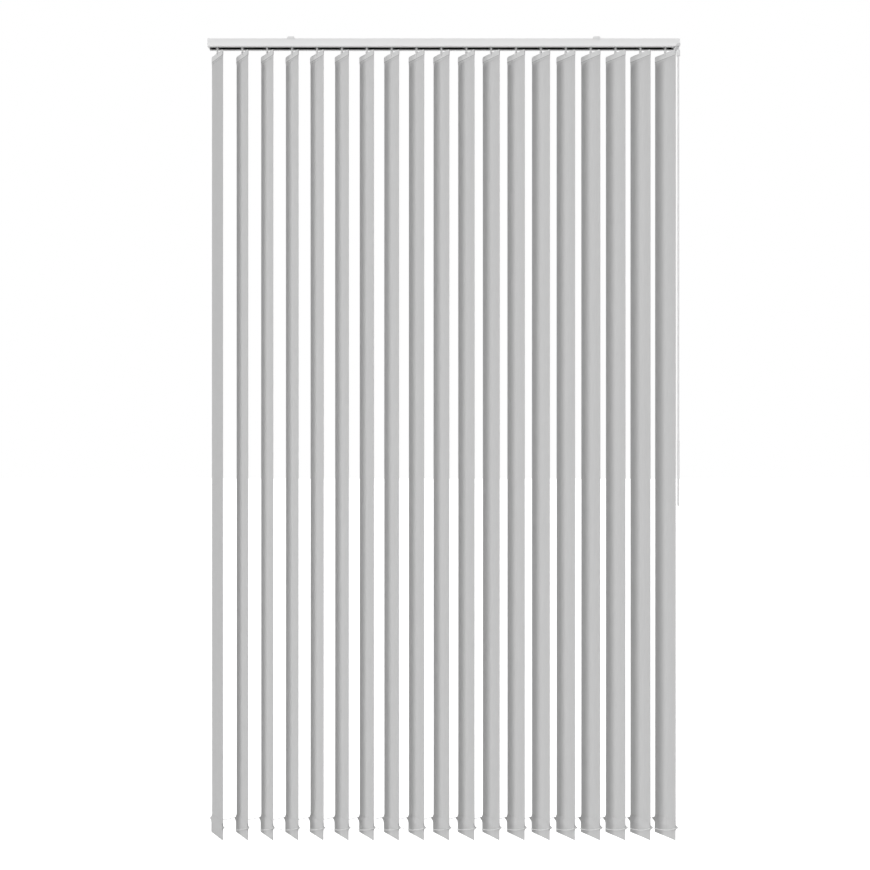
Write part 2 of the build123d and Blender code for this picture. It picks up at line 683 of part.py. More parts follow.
with BuildPart() as wand_truck:
    truck_length = TRUCK_RIGHT - TRUCK_LEFT
    with BuildSketch(Plane.XY.offset(TRUCK_BOTTOM)):
        with Locations((TRUCK_LEFT, TRUCK_FRONT)):
            Rectangle(truck_length, TRUCK_BACK - TRUCK_FRONT, align=(Align.MIN, Align.MIN))
    extrude(amount=TRUCK_TOP - TRUCK_BOTTOM)
    # skids on the rail's lips
    for side in (-1, 1):
        with BuildSketch(Plane.XY.offset(LIP_TOP + WHEEL_GAP)):
            with Locations(((TRUCK_LEFT + TRUCK_RIGHT) / 2, side * 15.5)):
                Rectangle(truck_length, 6)
        extrude(amount=6)
        with BuildSketch(Plane.XY.offset(LIP_TOP + 4)):
            with Locations(((TRUCK_LEFT + TRUCK_RIGHT) / 2, side * 12.5)):
                Rectangle(truck_length, 9)
        extrude(amount=3)
    # tie to the last carrier
    with BuildSketch(Plane.YZ.offset(LAST_STEM_X + CARRIER_LENGTH / 2)):
        with Locations((-8, -19)):
            Rectangle(3, 8)
    extrude(amount=TRUCK_LEFT - LAST_STEM_X - CARRIER_LENGTH / 2)
    # neck through the slot, open behind the drop shaft
    with BuildSketch(Plane.XY.offset(ARM_Z)):
        with Locations((WAND_X, TRUCK_NECK_FRONT)):
            Rectangle(8, ROD_Y - TRUCK_NECK_FRONT, align=(Align.CENTER, Align.MIN))
    extrude(amount=TRUCK_BOTTOM - ARM_Z)
    # arm towards the room
    with BuildSketch(Plane.XZ.offset(-ARM_BACK)):
        with Locations((WAND_X, ARM_Z)):
            Circle(ARM_RADIUS)
    extrude(amount=ARM_BACK - ARM_FRONT)
    fillet(wand_truck.edges().filter_by(GeomType.CIRCLE).sort_by(Axis.Y)[0], 1.5)
    fillet(wand_truck.edges().filter_by(GeomType.CIRCLE).sort_by(Axis.Y)[-1], 1.5)
    with BuildSketch(Plane.XZ.offset(-ARM_BACK + ARM_END_WALL)):
        with Locations((WAND_X, ARM_Z)):
            Circle(ARM_BORE_RADIUS)
    extrude(amount=ARM_BACK - ARM_FRONT - 2 * ARM_END_WALL, mode=Mode.SUBTRACT)
    # chambers of the upper gears, and the bores of the rod, the drop shaft and the spindle
    with BuildSketch(rod_axis_plane.offset(TRUCK_LEFT + 1.5)):
        Circle(GEAR_CHAMBER_RADIUS)
    extrude(amount=WAND_X - TRUCK_LEFT - 1.5, mode=Mode.SUBTRACT)
    with BuildSketch(Plane.XY.offset(ROD_Z - UPPER_GEAR_BIG - GEAR_BACK - 0.2)):
        with Locations((WAND_X, ROD_Y)):
            Circle(GEAR_CHAMBER_RADIUS)
    extrude(amount=UPPER_GEAR_BIG + GEAR_BACK + 0.2, mode=Mode.SUBTRACT)
    with BuildSketch(rod_axis_plane.offset(TRUCK_LEFT)):
        Circle(ROD_RIB_RADIUS + SHAFT_PLAY)
    extrude(amount=truck_length, mode=Mode.SUBTRACT)
    with BuildSketch(Plane.XY.offset(ARM_Z)):
        with Locations((WAND_X, ROD_Y)):
            Circle(DROP_RADIUS + SHAFT_PLAY)
    extrude(amount=ROD_Z - ARM_Z, mode=Mode.SUBTRACT)
    with BuildSketch(Plane.XY.offset(ARM_Z - ARM_RADIUS - 1)):
        with Locations((WAND_X, WAND_Y)):
            Circle(SPINDLE_RADIUS + SHAFT_PLAY)
    extrude(amount=ARM_RADIUS + 1, mode=Mode.SUBTRACT)
write(wand_truck, "wand_truck")


# ---------------------------------------------------------------- wand


def turned(outer, inner, top, bottom, edge=0.0):
    """A round piece on the wand's axis, solid or with a bore, with its outer edges rounded."""
    with BuildPart() as piece:
        with BuildSketch(Plane.XY.offset(bottom)):
            with Locations((WAND_X, WAND_Y)):
                Circle(outer)
        extrude(amount=top - bottom)
        if edge:
            fillet(piece.edges().filter_by(GeomType.CIRCLE), edge)
        if inner:
            with BuildSketch(Plane.XY.offset(bottom)):
                with Locations((WAND_X, WAND_Y)):
                    Circle(inner)
            extrude(amount=top - bottom, mode=Mode.SUBTRACT)
    return piece


write(turned(COUPLING_RADIUS, COUPLING_BORE, COUPLING_TOP, COUPLING_BOTTOM), "wand_coupling")

with BuildPart() as wand_connector:
    with BuildSketch(Plane.XY.offset(CONNECTOR_BOTTOM)):
        with Locations((WAND_X, WAND_Y)):
            Circle(CONNECTOR_RADIUS)
    extrude(amount=CONNECTOR_TOP - CONNECTOR_BOTTOM)
    fillet(wand_connector.edges().filter_by(GeomType.CIRCLE), 1.2)
    with BuildSketch(Plane.XY.offset(CONNECTOR_TOP)):
        with Locations((WAND_X, WAND_Y)):
            Circle(STUD_RADIUS)
    extrude(amount=STUD_TOP - CONNECTOR_TOP)
write(wand_connector, "wand_connector")

write(turned(WAND_RADIUS, 0, CONNECTOR_BOTTOM, WAND_ROD_BOTTOM), "wand_rod")
write(turned(GRIP_RADIUS, 0, WAND_ROD_BOTTOM, GRIP_BOTTOM, 0.8), "wand_grip")
write(turned(TIP_RADIUS, 0, GRIP_BOTTOM, TIP_BOTTOM, 1.6), "wand_tip")
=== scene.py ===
"""Vertical blind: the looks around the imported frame.

Each piece or group of like pieces is one operator, and main() calls them in order. Lengths are in
metres, in the frame's own axes: +X along the rail to the wand, -Y into the room, +Z up.
"""

import math
import random

import bpy
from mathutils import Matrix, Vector


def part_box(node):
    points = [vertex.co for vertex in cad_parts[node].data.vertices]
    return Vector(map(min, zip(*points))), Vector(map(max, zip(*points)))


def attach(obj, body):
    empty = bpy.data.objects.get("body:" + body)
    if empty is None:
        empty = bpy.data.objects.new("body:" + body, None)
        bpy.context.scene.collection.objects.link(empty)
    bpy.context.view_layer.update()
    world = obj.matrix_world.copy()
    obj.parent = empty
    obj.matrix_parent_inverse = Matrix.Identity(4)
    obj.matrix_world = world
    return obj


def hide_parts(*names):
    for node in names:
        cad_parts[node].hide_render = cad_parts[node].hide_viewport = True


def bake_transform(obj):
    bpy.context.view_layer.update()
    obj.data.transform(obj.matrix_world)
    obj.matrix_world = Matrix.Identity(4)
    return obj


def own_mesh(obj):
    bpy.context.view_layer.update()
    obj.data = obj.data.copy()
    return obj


bl_info = {
    "name": "Vertical Blind",
    "version": (1, 0, 0),
    "blender": (4, 5, 0),
    "location": "View3D > Sidebar > Blind",
    "description": "Builds a vertical blind around its packed frame",
    "category": "Object",
}

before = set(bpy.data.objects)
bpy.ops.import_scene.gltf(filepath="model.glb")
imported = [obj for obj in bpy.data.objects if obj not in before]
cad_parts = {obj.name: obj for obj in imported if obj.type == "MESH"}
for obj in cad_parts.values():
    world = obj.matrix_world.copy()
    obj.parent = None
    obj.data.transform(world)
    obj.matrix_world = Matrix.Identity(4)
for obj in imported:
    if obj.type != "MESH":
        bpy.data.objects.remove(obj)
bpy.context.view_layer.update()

COUNT = 19
PITCH = 0.07945
FIRST_X = -0.7225
LOUVRE_ANGLE = math.radians(55.84)
LOUVRE_NAMES = [f"louvre_{number:02d}" for number in range(1, COUNT + 1)]
CARRIER_NAMES = [f"carrier_{number:02d}" for number in range(1, COUNT + 1)]
ACROSS = Vector((math.cos(LOUVRE_ANGLE), -math.sin(LOUVRE_ANGLE), 0))
FACE = Vector((-math.sin(LOUVRE_ANGLE), -math.cos(LOUVRE_ANGLE), 0))

LOUVRE_LOW, LOUVRE_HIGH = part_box("louvre_01")
LOUVRE_BOTTOM = LOUVRE_LOW.z
LOUVRE_TOP = -0.0452
HALF_WIDTH = 0.0445
EYE_Z = LOUVRE_TOP - 0.0052
PEG_Z = EYE_Z + 0.00095
LUG_Z = -0.502 - 2.0
RING_REACH = 0.056
WEIGHT_FACE = 0.0013
SEAM_HEIGHT = 0.0242
POCKET_HEIGHT = 0.0550
EYE_RADIUS = 0.0026
CLOTH_EYE_RADIUS = 0.0042
STEM_RADIUS = 0.0032
COLLAR_RADIUS = 0.0048
STEM_COLLAR_Z = -0.0244
COLLAR_HEIGHT = 0.0008
WHEEL_HEIGHT = 0.0061
WHEEL_TEETH = 12
LUG_TOP = LUG_Z + 0.0058
LUG_FOOT = LUG_Z - 0.0082
LUG_EYE_RADIUS = 0.0012
LUG_EYE_REACH = 0.0535
CHAIN_GAP = 0.0036  # from a ring's centre to the first bead's wire
WIRE_RADIUS = 0.0006
GRIP_CAP = 0.004
RIB_PITCH = 0.003
NEAR = 0.00005  # how close a vertex lies to a ring of its own


# ---------------------------------------------------------------- settings


class BlindSizes(bpy.types.PropertyGroup):
    """Sizes that a user may change."""

    cloth_thickness: bpy.props.FloatProperty(
        name="Cloth thickness",
        description="Thickness of the stiffened fabric",
        default=0.0005,
        min=0.0002,
        max=0.001,
        precision=4,
        unit="LENGTH",
    )
    band_height: bpy.props.FloatProperty(
        name="Top band",
        description="Height of the welded pocket that holds the hanger",
        default=0.0172,
        min=0.008,
        max=0.03,
        precision=4,
        unit="LENGTH",
    )
    bead_radius: bpy.props.FloatProperty(
        name="Bead radius",
        description="Radius of one bead of the bottom chains",
        default=0.0015,
        min=0.0008,
        max=0.0018,
        precision=5,
        unit="LENGTH",
    )
    bead_count: bpy.props.IntProperty(
        name="Beads per span",
        description="Beads between one louvre's ring and the next",
        default=17,
        min=8,
        max=26,
    )
    chain_sag: bpy.props.FloatProperty(
        name="Chain sag",
        description="How far a bottom chain hangs at the middle of a span",
        default=0.0065,
        min=0.002,
        max=0.008,
        precision=4,
        unit="LENGTH",
    )
    grip_ribs: bpy.props.IntProperty(
        name="Grip ribs",
        description="Ribs round the wand's hand grip",
        default=12,
        min=4,
        max=24,
    )


class BlindColours(bpy.types.PropertyGroup):
    """Base colours that a user may change."""

    cloth: bpy.props.FloatVectorProperty(
        name="Cloth",
        description="Colour of the louvres' fabric",
        subtype="COLOR",
        size=4,
        min=0,
        max=1,
        default=(0.60, 0.60, 0.60, 1),
    )
    band: bpy.props.FloatVectorProperty(
        name="Band",
        description="Colour of the welded top pocket",
        subtype="COLOR",
        size=4,
        min=0,
        max=1,
        default=(0.76, 0.76, 0.76, 1),
    )
    rail: bpy.props.FloatVectorProperty(
        name="Rail",
        description="Colour of the headrail's powder coat",
        subtype="COLOR",
        size=4,
        min=0,
        max=1,
        default=(0.95, 0.95, 0.95, 1),
    )
    white_plastic: bpy.props.FloatVectorProperty(
        name="White plastic",
        description="Colour of the wand, hangers and chains",
        subtype="COLOR",
        size=4,
        min=0,
        max=1,
        default=(0.82, 0.82, 0.82, 1),
    )
    grey_plastic: bpy.props.FloatVectorProperty(
        name="Grey plastic",
        description="Colour of the wand's arm and joint",
        subtype="COLOR",
        size=4,
        min=0,
        max=1,
        default=(0.72, 0.72, 0.725, 1),
    )
    dark_plastic: bpy.props.FloatVectorProperty(
        name="Dark plastic",
        description="Colour of the carriers and gears",
        subtype="COLOR",
        size=4,
        min=0,
        max=1,
        default=(0.02, 0.02, 0.02, 1),
    )


# ---------------------------------------------------------------- helpers


def clear_selection():
    """Leave edit mode and select nothing."""
    if bpy.context.object and bpy.context.object.mode != "OBJECT":
        bpy.ops.object.mode_set(mode="OBJECT")
    bpy.ops.object.select_all(action="DESELECT")


def pick(obj):
    """Make one object the only selected and active one."""
    clear_selection()
    obj.select_set(True)
    bpy.context.view_layer.objects.active = obj


def new_piece(name):
    """Take the primitive just added, name it and open it in edit mode with nothing selected."""
    obj = bpy.context.object
    obj.name = name
    obj.data.name = name
    bpy.ops.object.mode_set(mode="EDIT")
    bpy.ops.mesh.select_all(action="DESELECT")
    bpy.ops.object.mode_set(mode="OBJECT")
    return obj


def choose(obj, kind, test):
    """In edit mode, select only the vertices, edges or faces that pass the test."""
    bpy.ops.object.mode_set(mode="EDIT")
    bpy.ops.mesh.select_mode(type=kind)
    bpy.ops.mesh.select_all(action="DESELECT")
    bpy.ops.object.mode_set(mode="OBJECT")
    mesh = obj.data
    if kind == "VERT":
        for vertex in mesh.vertices:
            vertex.select = test(vertex.co)
    elif kind == "EDGE":
        for edge in mesh.edges:
            ends = [mesh.vertices[index].co for index in edge.vertices]
            edge.select = test(ends[0], ends[1])
    else:
        for polygon in mesh.polygons:
            polygon.select = test(polygon.center, polygon.normal)
    bpy.ops.object.mode_set(mode="EDIT")


def apply_modifiers(obj):
    """Apply every modifier of one object, first to last."""
    pick(obj)
    for modifier in list(obj.modifiers):
        bpy.ops.object.modifier_apply(modifier=modifier.name)


def settle(obj):
    """Move an object's place into its mesh, so that it sits at the origin, unturned, unscaled."""
    pick(obj)
    bpy.ops.object.transform_apply(location=True, rotation=True, scale=True)


def face_out(obj):
    """Merge doubled vertices and turn all faces outwards."""
    pick(obj)
    bpy.ops.object.mode_set(mode="EDIT")
    bpy.ops.mesh.select_all(action="SELECT")
    bpy.ops.mesh.remove_doubles(threshold=0.000001)
    bpy.ops.mesh.normals_make_consistent(inside=False)
    bpy.ops.object.mode_set(mode="OBJECT")


def soften(obj, width, segments=2, angle=30):
    """Round an object's edges a little and smooth its shading."""
    bevel = obj.modifiers.new("Rounded edges", "BEVEL")
    bevel.width = width
    bevel.segments = segments
    bevel.limit_method = "ANGLE"
    bevel.angle_limit = math.radians(angle)
    bevel.harden_normals = False
    apply_modifiers(obj)
    smooth(obj, angle)


def smooth(obj, angle=35):
    """Smooth the shading of faces that meet at less than the angle."""
    pick(obj)
    bpy.ops.object.shade_smooth_by_angle(angle=math.radians(angle))


def cut_with(obj, cutter):
    """Take one closed shape away from another."""
    cut = obj.modifiers.new("Cut", "BOOLEAN")
    cut.operation = "DIFFERENCE"
    cut.solver = "EXACT"
    cut.object = cutter
    apply_modifiers(obj)
    bpy.data.objects.remove(cutter)


def drill(obj, place, radius, vertices):
    """Cut a round hole that runs along Y through a piece."""
    clear_selection()
    bpy.ops.mesh.primitive_cylinder_add(
        vertices=vertices, radius=radius, depth=0.01, location=place, rotation=(math.pi / 2, 0, 0)
    )
    cut_with(obj, bpy.context.object)


def slice_at(height):
    """In edit mode, add a level line across what is selected."""
    bpy.ops.mesh.bisect(plane_co=(0, 0, height), plane_no=(0, 0, 1))


def pull_faces(move):
    """In edit mode, extrude the selected faces by a move."""
    bpy.ops.mesh.extrude_region_move(TRANSFORM_OT_translate={"value": move})


def pull_edges(move):
    """In edit mode, extrude the selected edges by a move."""
    bpy.ops.mesh.extrude_edges_move(TRANSFORM_OT_translate={"value": move})


def widen(factor, centre):
    """In edit mode, scale the selection across Z about a centre."""
    bpy.ops.transform.resize(value=(factor, factor, 1), center_override=centre)


def join(target, others):
    """Join other objects into a target."""
    clear_selection()
    for obj in others:
        obj.select_set(True)
    target.select_set(True)
    bpy.context.view_layer.objects.active = target
    bpy.ops.object.join()


def repeat(obj, label, count, step, weld=False):
    """Repeat a mesh in a row, one step apart."""
    row = obj.modifiers.new(label, "ARRAY")
    row.count = count
    row.use_relative_offset = False
    row.use_constant_offset = True
    row.constant_offset_displace = step
    if weld:
        row.use_merge_vertices = True
        row.merge_threshold = NEAR
    apply_modifiers(obj)


def hang_copies(master, ending, material, jitter=None):
    """Put a copy of a louvre's piece on each louvre, and throw the master away."""
    made = []
    for index, louvre in enumerate(LOUVRE_NAMES):
        pick(master)
        bpy.ops.object.duplicate()
        copy = bpy.context.object
        copy.name = f"{louvre}_{ending}"
        copy.data.name = copy.name
        copy.rotation_euler = (0, 0, -LOUVRE_ANGLE)
        copy.location = (FIRST_X + index * PITCH, 0, 0)
        if jitter:
            jitter(copy, index)
        settle(copy)
        dress(copy, material)
        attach(copy, f"{louvre}_body")
        made.append(copy)
    bpy.data.objects.remove(master)
    return made


def dress(obj, material):
    """Give an object one material all over."""
    obj.data.materials.clear()
    obj.data.materials.append(material)


# ---------------------------------------------------------------- shader groups


def tint(colour, factor):
    """A colour made darker or lighter, with full alpha."""
    return tuple(channel * factor for channel in colour[:3]) + (1,)


def new_group(name, inputs, outputs):
    """Start a node group with the given inputs and outputs."""
    group = bpy.data.node_groups.new(name, "ShaderNodeTree")
    for label, kind, value in inputs:
        made = group.interface.new_socket(name=label, in_out="INPUT", socket_type=kind)
        made.default_value = value
    for label, kind in outputs:
        group.interface.new_socket(name=label, in_out="OUTPUT", socket_type=kind)
    entry = group.nodes.new("NodeGroupInput")
    leave = group.nodes.new("NodeGroupOutput")
    return group, entry, leave


def grain_group():
    """Moulded or sprayed grain: a height for a bump, and a slow mottling of the tone."""
    group, entry, leave = new_group(
        "Surface Grain",
        [
            ("Vector", "NodeSocketVector", (0, 0, 0)),
            ("Grain per metre", "NodeSocketFloat", 1400.0),
            ("Mottle per metre", "NodeSocketFloat", 9.0),
        ],
        [("Height", "NodeSocketFloat"), ("Mottle", "NodeSocketFloat")],
    )
    link = group.links.new
    fine = group.nodes.new("ShaderNodeTexNoise")
    fine.inputs["Detail"].default_value = 2
    link(entry.outputs["Vector"], fine.inputs["Vector"])
    link(entry.outputs["Grain per metre"], fine.inputs["Scale"])
    slow = group.nodes.new("ShaderNodeTexNoise")
    slow.inputs["Detail"].default_value = 3
    link(entry.outputs["Vector"], slow.inputs["Vector"])
    link(entry.outputs["Mottle per metre"], slow.inputs["Scale"])
    link(fine.outputs["Fac"], leave.inputs["Height"])
    link(slow.outputs["Fac"], leave.inputs["Mottle"])
    return group


def weave_group():
    """Plain weave: crossing yarns as a height, and the tone of single slubbed yarns."""
    group, entry, leave = new_group(
        "Plain Weave",
        [
            ("Vector", "NodeSocketVector", (0, 0, 0)),
            ("Yarns per metre", "NodeSocketFloat", 1500.0),
            ("Slubs per metre", "NodeSocketFloat", 420.0),
        ],
        [("Height", "NodeSocketFloat"), ("Slub", "NodeSocketFloat")],
    )
    link = group.links.new
    turns = group.nodes.new("ShaderNodeMath")
    turns.operation = "MULTIPLY"
    turns.inputs[1].default_value = math.pi
    link(entry.outputs["Yarns per metre"], turns.inputs[0])
    grown = group.nodes.new("ShaderNodeVectorMath")
    grown.operation = "SCALE"
    link(entry.outputs["Vector"], grown.inputs[0])
    link(turns.outputs[0], grown.inputs["Scale"])
    axes = group.nodes.new("ShaderNodeSeparateXYZ")
    link(grown.outputs[0], axes.inputs[0])
    waves = []
    for axis in ("X", "Z"):
        wave = group.nodes.new("ShaderNodeMath")
        wave.operation = "SINE"
        link(axes.outputs[axis], wave.inputs[0])
        waves.append(wave)
    crossing = group.nodes.new("ShaderNodeMath")
    crossing.operation = "MULTIPLY_ADD"
    crossing.inputs[2].default_value = 0.5
    link(waves[0].outputs[0], crossing.inputs[0])
    link(waves[1].outputs[0], crossing.inputs[1])
    link(crossing.outputs[0], leave.inputs["Height"])
    stretched = group.nodes.new("ShaderNodeVectorMath")
    stretched.operation = "MULTIPLY"
    stretched.inputs[1].default_value = (1, 1, 0.06)
    link(entry.outputs["Vector"], stretched.inputs[0])
    upright = group.nodes.new("ShaderNodeTexNoise")
    upright.inputs["Detail"].default_value = 1
    link(stretched.outputs[0], upright.inputs["Vector"])
    link(entry.outputs["Slubs per metre"], upright.inputs["Scale"])
    link(upright.outputs["Fac"], leave.inputs["Slub"])
    return group


def band_group():
    """A mask that is 1 between two heights, with soft ends."""
    group, entry, leave = new_group(
        "Height Band",
        [
            ("Vector", "NodeSocketVector", (0, 0, 0)),
            ("From", "NodeSocketFloat", 0.0),
            ("To", "NodeSocketFloat", 1.0),
            ("Softness", "NodeSocketFloat", 0.001),
        ],
        [("Mask", "NodeSocketFloat")],
    )
    link = group.links.new
    axes = group.nodes.new("ShaderNodeSeparateXYZ")
    link(entry.outputs["Vector"], axes.inputs[0])
    sides = []
    height = axes.outputs["Z"]
    for above, below in ((height, entry.outputs["From"]), (entry.outputs["To"], height)):
        gap = group.nodes.new("ShaderNodeMath")
        gap.operation = "SUBTRACT"
        link(above, gap.inputs[0])
        link(below, gap.inputs[1])
        share = group.nodes.new("ShaderNodeMath")
        share.operation = "DIVIDE"
        share.use_clamp = True
        link(gap.outputs[0], share.inputs[0])
        link(entry.outputs["Softness"], share.inputs[1])
        sides.append(share)
    both = group.nodes.new("ShaderNodeMath")
    both.operation = "MULTIPLY"
    link(sides[0].outputs[0], both.inputs[0])
    link(sides[1].outputs[0], both.inputs[1])
    link(both.outputs[0], leave.inputs["Mask"])
    return group


class Finish:
    """A material under construction: its node tree, its shader and a chain of wired parts."""

    def __init__(self, name, turn=0.0):
        self.material = bpy.data.materials.new(name)
        self.material.use_nodes = True
        self.nodes = self.material.node_tree.nodes
        self.link = self.material.node_tree.links.new
        self.shader = self.nodes["Principled BSDF"]
        place = self.nodes.new("ShaderNodeTexCoord")
        mapping = self.nodes.new("ShaderNodeMapping")
        mapping.inputs["Rotation"].default_value = (0, 0, turn)
        self.link(place.outputs["Object"], mapping.inputs["Vector"])
        self.place = mapping.outputs["Vector"]

    def group(self, tree, **values):
        """Place a shader group on the object's coordinates with its own values."""
        node = self.nodes.new("ShaderNodeGroup")
        node.node_tree = tree
        self.link(self.place, node.inputs["Vector"])
        for label, value in values.items():
            node.inputs[label.replace("_", " ")].default_value = value
        return node

    def span(self, source, low, high):
        """Map a 0 to 1 value onto low to high."""
        node = self.nodes.new("ShaderNodeMapRange")
        node.inputs["To Min"].default_value = low
        node.inputs["To Max"].default_value = high
        self.link(source, node.inputs["Value"])
        return node.outputs["Result"]

    def shade(self, colour, low, high, source):
        """A colour made darker and lighter by a 0 to 1 value."""
        node = self.nodes.new("ShaderNodeMix")
        node.data_type = "RGBA"
        node.inputs["A"].default_value = tint(colour, low)
        node.inputs["B"].default_value = tuple(min(1, part) for part in tint(colour, high))
        self.link(source, node.inputs["Factor"])
        return node.outputs["Result"]

    def mix(self, mask, under, over):
        """Lay one colour over another through a mask."""
        node = self.nodes.new("ShaderNodeMix")
        node.data_type = "RGBA"
        self.link(mask, node.inputs["Factor"])
        for socket, value in (("A", under), ("B", over)):
            if isinstance(value, tuple):
                node.inputs[socket].default_value = value
            else:
                self.link(value, node.inputs[socket])
        return node.outputs["Result"]

    def bump(self, height, strength, distance):
        """Feed a height to the shader's normal."""
        node = self.nodes.new("ShaderNodeBump")
        node.inputs["Strength"].default_value = strength
        node.inputs["Distance"].default_value = distance
        self.link(height, node.inputs["Height"])
        self.link(node.outputs["Normal"], self.shader.inputs["Normal"])

    def feed(self, socket, value):
        """Set a shader socket, or wire something to it."""
        if hasattr(value, "is_output"):
            self.link(value, self.shader.inputs[socket])
        else:
            self.shader.inputs[socket].default_value = value


GROUPS = {}
FINISHES = {}


def plastic(name, colour, roughness, grain=2200.0, depth=0.00002):
    """Moulded plastic with a fine grain and slightly uneven gloss."""
    finish = Finish(name)
    grained = finish.group(GROUPS["grain"], Grain_per_metre=grain, Mottle_per_metre=30.0)
    finish.feed("Base Color", finish.shade(colour, 0.96, 1.03, grained.outputs["Mottle"]))
    uneven = finish.span(grained.outputs["Mottle"], roughness - 0.05, roughness + 0.05)
    finish.feed("Roughness", uneven)
    finish.bump(grained.outputs["Height"], 0.25, depth)
    return finish.material


class BLIND_OT_finishes(bpy.types.Operator):
    """Build the shader groups and every material"""

    bl_idname = "blind.finishes"
    bl_label = "Materials"

    def execute(self, context):
        colours = context.scene.blind_colours
        sizes = context.scene.blind_sizes
        GROUPS["grain"] = grain_group()
        GROUPS["weave"] = weave_group()
        GROUPS["band"] = band_group()

        cloth = Finish("Louvre cloth", LOUVRE_ANGLE)
        weave = cloth.group(GROUPS["weave"])
        band = cloth.group(
            GROUPS["band"], From=LOUVRE_TOP - sizes.band_height, To=0.0, Softness=0.0004
        )
        seam = cloth.group(
            GROUPS["band"],
            From=LOUVRE_TOP - sizes.band_height - 0.0012,
            To=LOUVRE_TOP - sizes.band_height + 0.0002,
            Softness=0.0003,
        )
        woven = cloth.shade(colours.cloth, 0.95, 1.05, weave.outputs["Slub"])
        # each louvre carries its own share of painted light, from 0 to 1: all but the first are
        # painted paler, standing in for the light their neighbours bounce onto them
        painted_bounce = cloth.nodes.new("ShaderNodeAttribute")
        painted_bounce.attribute_name = "painted_bounce"
        painted_lit = cloth.shade(colours.cloth, 1.04, 1.16, weave.outputs["Slub"])
        body = cloth.mix(painted_bounce.outputs["Fac"], woven, painted_lit)
        banded = cloth.mix(band.outputs["Mask"], body, tuple(colours.band))
        welded = cloth.mix(seam.outputs["Mask"], banded, tint(colours.cloth, 0.62))
        cloth.feed("Base Color", welded)
        cloth.feed("Roughness", cloth.span(weave.outputs["Height"], 0.88, 0.78))
        cloth.feed("Sheen Weight", 0.15)
        cloth.feed("Sheen Roughness", 0.6)
        cloth.feed("Specular IOR Level", 0.25)
        cloth.bump(weave.outputs["Height"], 0.5, 0.00006)
        FINISHES["cloth"] = cloth.material

        rail = Finish("Rail powder coat")
        coat = rail.group(GROUPS["grain"], Grain_per_metre=900.0, Mottle_per_metre=6.0)
        white = rail.shade(colours.rail, 0.985, 1.01, coat.outputs["Mottle"])
        inside = rail.nodes.new("ShaderNodeSeparateXYZ")
        rail.link(rail.place, inside.inputs[0])
        rail_low, rail_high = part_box("headrail")
        # painted shade: the inside of the channel is painted near black, standing in for the
        # shade within the rail
        depth = rail.nodes.new("ShaderNodeMath")
        depth.operation = "ABSOLUTE"
        rail.link(inside.outputs["Y"], depth.inputs[0])
        within = rail.nodes.new("ShaderNodeMath")
        within.operation = "LESS_THAN"
        within.inputs[1].default_value = rail_high.y - 0.0011
        rail.link(depth.outputs[0], within.inputs[0])
        hollow = rail.group(
            GROUPS["band"], From=rail_low.z + 0.0009, To=rail_high.z - 0.0005, Softness=0.0002
        )
        both = rail.nodes.new("ShaderNodeMath")
        both.operation = "MULTIPLY"
        rail.link(within.outputs[0], both.inputs[0])
        rail.link(hollow.outputs["Mask"], both.inputs[1])
        # painted shade: the rail's face is painted darker towards its top, standing in for the
        # dimmer light on its upper edge
        painted_top_shade = rail.group(
            GROUPS["band"], From=rail_low.z + 0.006, To=rail_high.z + 0.01, Softness=0.024
        )
        top_shaded = rail.mix(painted_top_shade.outputs["Mask"], white, tint(colours.rail, 0.83))
        # painted shadow: the back lip is painted near black where it borders the slot, widening
        # the slot's dark shade
        beside = rail.nodes.new("ShaderNodeCombineXYZ")
        rail.link(inside.outputs["Y"], beside.inputs["Z"])
        border = rail.group(GROUPS["band"], From=0.0098, To=0.0145, Softness=0.0004)
        rail.link(beside.outputs[0], border.inputs["Vector"])
        beneath = rail.nodes.new("ShaderNodeMath")
        beneath.operation = "LESS_THAN"
        beneath.inputs[1].default_value = rail_low.z + 0.0014
        rail.link(inside.outputs["Z"], beneath.inputs[0])
        painted_slot_shadow = rail.nodes.new("ShaderNodeMath")
        painted_slot_shadow.operation = "MULTIPLY"
        rail.link(border.outputs["Mask"], painted_slot_shadow.inputs[0])
        rail.link(beneath.outputs[0], painted_slot_shadow.inputs[1])
        with_slot_shadow = rail.mix(painted_slot_shadow.outputs[0], top_shaded, (0.03, 0.03, 0.03, 1))
        # the channel's inside takes the painted near-black shade
        rail.feed("Base Color", rail.mix(both.outputs[0], with_slot_shadow, (0.012, 0.012, 0.012, 1)))
        rail.feed("Roughness", rail.span(coat.outputs["Mottle"], 0.36, 0.44))
        rail.feed("Coat Weight", 0.15)
        rail.feed("Coat Roughness", 0.25)
        rail.bump(coat.outputs["Height"], 0.15, 0.00004)
        FINISHES["rail"] = rail.material

        metal = Finish("Drawn aluminium")
        drawn = metal.group(GROUPS["grain"], Grain_per_metre=3000.0, Mottle_per_metre=60.0)
        streaked = metal.shade((0.62, 0.62, 0.63), 0.92, 1.05, drawn.outputs["Mottle"])
        metal.feed("Base Color", streaked)
        metal.feed("Metallic", 1.0)
        metal.feed("Roughness", metal.span(drawn.outputs["Height"], 0.3, 0.45))
        FINISHES["rod"] = metal.material

        FINISHES["white"] = plastic("White plastic", colours.white_plastic, 0.42)
        FINISHES["chain"] = plastic("Chain plastic", (0.93, 0.93, 0.93), 0.3, 4000.0, 0.00001)
        FINISHES["hook"] = plastic("Weight plastic", (0.55, 0.55, 0.55), 0.35)
        FINISHES["cap"] = plastic("Cap plastic", tuple(c * 0.97 for c in colours.rail[:3]), 0.5)
        FINISHES["clip"] = plastic("Coated clip steel", (0.84, 0.84, 0.84), 0.38, 1200.0, 0.00003)
        FINISHES["grey"] = plastic("Grey plastic", colours.grey_plastic, 0.5)
        FINISHES["rubber"] = plastic(
            "Grey flexible sleeve", colours.grey_plastic, 0.7, 1500.0, 0.00004
        )
        FINISHES["dark"] = plastic("Dark acetal", colours.dark_plastic, 0.55)
        return {"FINISHED"}


# ---------------------------------------------------------------- carried-over pieces


